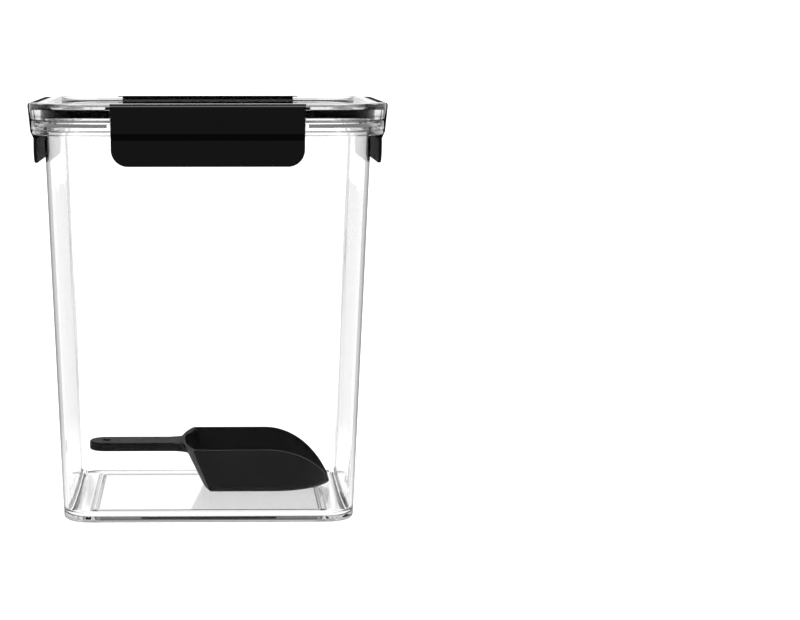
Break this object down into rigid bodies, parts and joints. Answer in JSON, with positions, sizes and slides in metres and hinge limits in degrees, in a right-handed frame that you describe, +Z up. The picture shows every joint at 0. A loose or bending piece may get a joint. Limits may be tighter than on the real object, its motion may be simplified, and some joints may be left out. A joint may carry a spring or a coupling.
{
  "type": "food storage container",
  "caption": "Clear airtight kitchen canister for dry food, with a lift-off lid, locking clips that swing out on the lid's edge, a sealing gasket and a loose scoop.",
  "frame": {"origin": "centre of the container's base, on the surface it stands on", "axes": "+Z up, +X to the right along the long side, front clip at -Y, back clip at +Y"},
  "size_m": [0.2058, 0.1728, 0.2425],
  "materials": {
    "clear_plastic": "clear, polished",
    "clear_lid_plastic": "clear, polished",
    "black_silicone": "matt",
    "black_plastic": "satin",
    "scoop_plastic": "satin"
  },
  "bodies": {
    "container": {"container_body": "clear_plastic"},
    "lid": {"lid": "clear_lid_plastic", "lid_gasket": "black_silicone"},
    "front_clip": {"front_clip": "black_plastic"},
    "back_clip": {"back_clip": "black_plastic"},
    "left_clip": {"left_clip": "black_plastic"},
    "right_clip": {"right_clip": "black_plastic"},
    "scoop": {"scoop": "scoop_plastic"}
  },
  "joints": [
    {"name": "lid_lift", "type": "slide", "parent": "container", "child": "lid", "axis": [0, 0, 1], "range_m": [0, 0.2]},
    {"name": "scoop_lift", "type": "slide", "parent": "container", "child": "scoop", "axis": [0, 0, 1], "range_m": [0, 0.19]},
    {"name": "front_clip_swing", "type": "hinge", "parent": "lid", "child": "front_clip", "pos_m": [0, -0.0837, 0.2401], "axis": [-1, 0, 0], "range_deg": [0, 105]},
    {"name": "right_clip_swing", "type": "hinge", "parent": "lid", "child": "right_clip", "pos_m": [0.1002, 0, 0.2401], "axis": [0, -1, 0], "range_deg": [0, 105]},
    {"name": "back_clip_swing", "type": "hinge", "parent": "lid", "child": "back_clip", "pos_m": [0, 0.0837, 0.2401], "axis": [1, 0, 0], "range_deg": [0, 105]},
    {"name": "left_clip_swing", "type": "hinge", "parent": "lid", "child": "left_clip", "pos_m": [-0.1002, 0, 0.2401], "axis": [0, 1, 0], "range_deg": [0, 105]}
  ]
}
